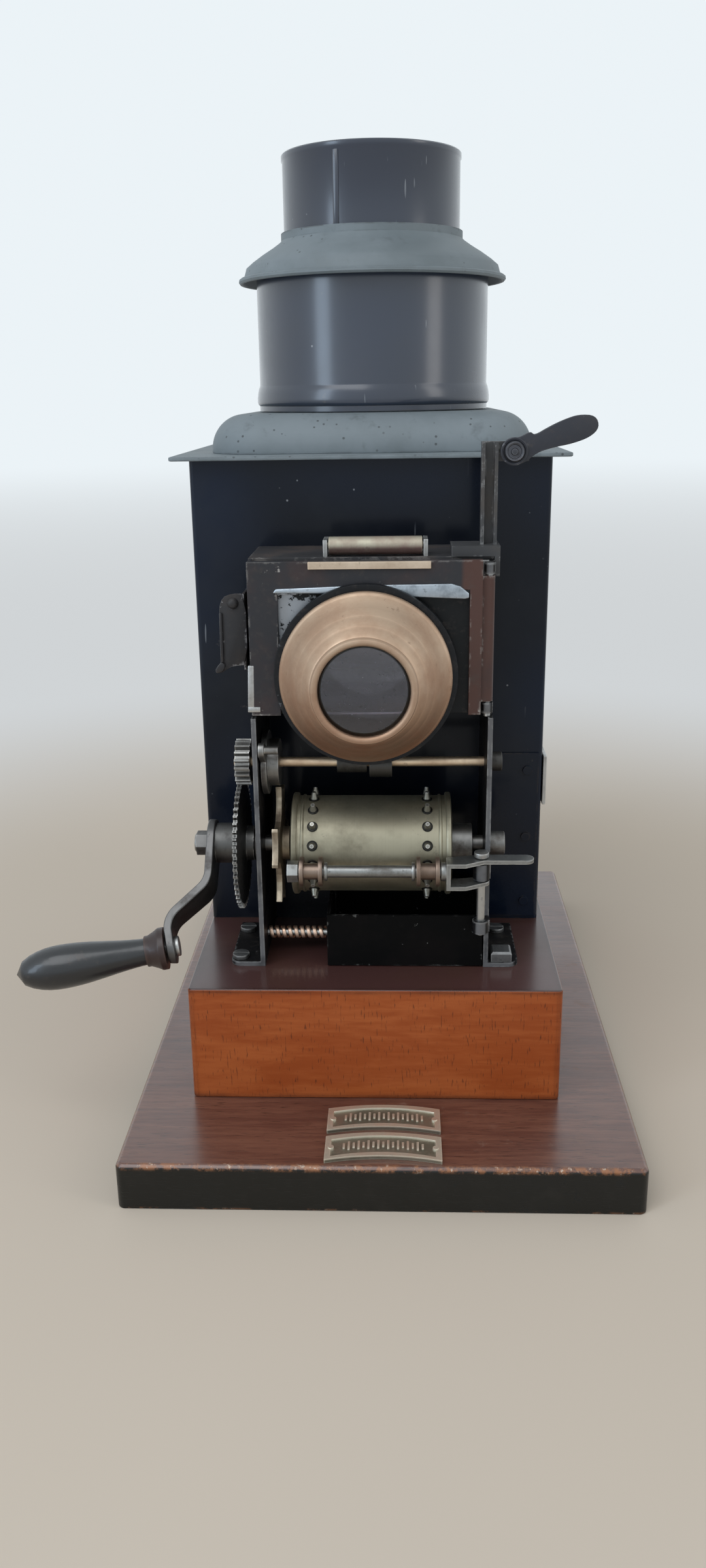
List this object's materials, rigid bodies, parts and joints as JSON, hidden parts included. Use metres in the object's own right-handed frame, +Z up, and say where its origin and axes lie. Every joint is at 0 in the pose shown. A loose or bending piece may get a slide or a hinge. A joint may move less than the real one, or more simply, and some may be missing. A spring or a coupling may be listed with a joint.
{
  "type": "hand-cranked film lantern",
  "caption": "Hand-cranked toy film lantern: lamp house with lift-off chimney, swinging lens gate, toothed film drum, gear pair and side crank on a wooden base.",
  "frame": {"origin": "centre of the base board's underside", "axes": "+Z up, +X to the right of a person facing the lens, +Y towards the back of the lamp house"},
  "size_m": [0.1498, 0.18, 0.2388],
  "materials": {
    "base_wood": "worn varnish over mahogany, scuffed",
    "plinth_wood": "oiled reddish wood",
    "japanned_steel": "glossy blue-black japan, scratched",
    "roof_paint": "matte dusty grey-green paint",
    "worn_frame_paint": "brown worn japan with bright chips",
    "black_paint": "satin black",
    "lens_brass": "satin, slightly tarnished",
    "drum_brass": "pale, turned, worn",
    "badge_brass": "dull, patinated",
    "plated_steel": "worn plating",
    "dark_steel": "oiled, dark",
    "spring_copper": "coppered wire",
    "handle_wood": "black polish, worn",
    "collar_brown": "reddish brown lacquer",
    "clear_glass": "clear, slightly violet",
    "mirror_glass": "silvered",
    "wick_cotton": "woven cotton"
  },
  "bodies": {
    "stand": {"base_board": "base_wood", "plinth_block": "plinth_wood", "base_badges": "badge_brass", "lamp_house": "japanned_steel", "front_patch": "japanned_steel", "roof_plate": "roof_paint", "roof_dome": "roof_paint", "side_plate_left": "black_paint", "side_plate_right": "black_paint", "foot_screws": "plated_steel", "gate_top_plate": "worn_frame_paint", "aperture_plate": "plated_steel", "guide_bracket": "plated_steel", "hinge_pins": "plated_steel", "reel_bracket": "plated_steel", "reel_pivot_screw": "plated_steel", "crank_stud": "dark_steel", "spring_rod": "plated_steel", "channel_spring": "spring_copper", "condenser_cell": "black_paint", "condenser_lens": "clear_glass"},
    "gate": {"gate_door": "worn_frame_paint", "lens_board": "black_paint", "lens_flange": "black_paint", "film_lip": "drum_brass", "pressure_pad": "plated_steel"},
    "lens": {"lens_mount": "lens_brass", "lens_glasses": "clear_glass"},
    "latch": {"gate_latch": "dark_steel"},
    "guide": {"guide_roller": "drum_brass"},
    "crank": {"drive_gear": "dark_steel", "crank_arm": "plated_steel", "handle_spindle": "plated_steel"},
    "handle": {"handle_grip": "handle_wood", "handle_ferrule": "collar_brown"},
    "cam": {"cam_shaft": "lens_brass", "pinion": "plated_steel", "drive_arm": "plated_steel", "cam_collars": "plated_steel"},
    "drum": {"sprocket_drum": "drum_brass", "drum_teeth": "plated_steel", "drum_shaft": "plated_steel", "star_wheel": "plated_steel"},
    "presser": {"presser_bracket": "plated_steel", "presser_shaft": "plated_steel"},
    "roller_left": {"presser_roller_left": "lens_brass"},
    "roller_right": {"presser_roller_right": "lens_brass"},
    "channel": {"film_channel": "black_paint"},
    "side_door": {"side_door": "japanned_steel", "door_tab": "plated_steel"},
    "reel_arm": {"reel_arm": "dark_steel"},
    "chimney": {"chimney_drum": "japanned_steel", "chimney_cowl": "roof_paint", "chimney_pipe": "japanned_steel"},
    "lamp": {"lamp_tank": "badge_brass", "lamp_burner": "badge_brass", "lamp_glass": "clear_glass", "reflector": "mirror_glass"},
    "wick": {"wick": "wick_cotton"},
    "wick_knob": {"wick_knob": "badge_brass"}
  },
  "joints": [
    {"name": "crank_turn", "type": "hinge", "parent": "stand", "child": "crank", "pos_m": [-0.0358, -0.0375, 0.0712], "axis": [1, 0, 0], "continuous": true},
    {"name": "cam_turn", "type": "hinge", "parent": "stand", "child": "cam", "pos_m": [0, -0.0375, 0.0928], "axis": [1, 0, 0], "continuous": true},
    {"name": "drum_turn", "type": "hinge", "parent": "stand", "child": "drum", "pos_m": [0, -0.0375, 0.0712], "axis": [1, 0, 0], "continuous": true},
    {"name": "handle_spin", "type": "hinge", "parent": "crank", "child": "handle", "pos_m": [-0.05123, -0.0573, 0.0514], "axis": [-0.9816, -0.1349, -0.1349], "continuous": true},
    {"name": "gate_swing", "type": "hinge", "parent": "stand", "child": "gate", "pos_m": [0.0253, -0.0465, 0.12565], "axis": [0, 0, 1], "range_deg": [0, 95]},
    {"name": "lens_focus", "type": "slide", "parent": "gate", "child": "lens", "axis": [0, -1, 0], "range_m": [0, 0.005]},
    {"name": "latch_swing", "type": "hinge", "parent": "stand", "child": "latch", "pos_m": [-0.0319, -0.028, 0.119], "axis": [0, 0, -1], "range_deg": [0, 60]},
    {"name": "guide_spin", "type": "hinge", "parent": "stand", "child": "guide", "pos_m": [-0.00265, -0.0393, 0.1461], "axis": [1, 0, 0], "continuous": true},
    {"name": "presser_swing", "type": "hinge", "parent": "stand", "child": "presser", "pos_m": [0.0244, -0.0516, 0.07], "axis": [0, 0, 1], "range_deg": [0, 32]},
    {"name": "roller_left_spin", "type": "hinge", "parent": "presser", "child": "roller_left", "pos_m": [-0.01673, -0.05386, 0.07], "axis": [1, 0, 0], "continuous": true},
    {"name": "roller_right_spin", "type": "hinge", "parent": "presser", "child": "roller_right", "pos_m": [0.01144, -0.05386, 0.07], "axis": [1, 0, 0], "continuous": true},
    {"name": "channel_slide", "type": "slide", "parent": "stand", "child": "channel", "axis": [-1, 0, 0], "range_m": [0, 0.005], "stiffness_N_per_m": 150, "springref_m": -0.003, "deforming": ["channel_spring"]},
    {"name": "side_door_swing", "type": "hinge", "parent": "stand", "child": "side_door", "pos_m": [0.0439, 0.0602, 0.10335], "axis": [0, 0, 1], "range_deg": [0, 110]},
    {"name": "reel_arm_swing", "type": "hinge", "parent": "stand", "child": "reel_arm", "pos_m": [0.0308, -0.0395, 0.1669], "axis": [0, -1, 0], "range_deg": [-30, 70]},
    {"name": "chimney_lift", "type": "slide", "parent": "stand", "child": "chimney", "axis": [0, 0, 1], "range_m": [0, 0.03]},
    {"name": "lamp_slide", "type": "slide", "parent": "stand", "child": "lamp", "axis": [0, 1, 0], "range_m": [-0.006, 0.006]},
    {"name": "wick_slide", "type": "slide", "parent": "lamp", "child": "wick", "axis": [0, 0, 1], "range_m": [-0.006, 0.004]},
    {"name": "wick_turn", "type": "hinge", "parent": "lamp", "child": "wick_knob", "pos_m": [0.0075, 0.0286, 0.0819], "axis": [-1, 0, 0], "range_deg": [-215, 144]}
  ],
  "couplings": [
    {"joint": "cam_turn", "follows": "crank_turn", "ratio": -3},
    {"joint": "drum_turn", "follows": "crank_turn", "ratio": 0.75},
    {"joint": "wick_turn", "follows": "wick_slide", "rad_per_m": 625}
  ]
}
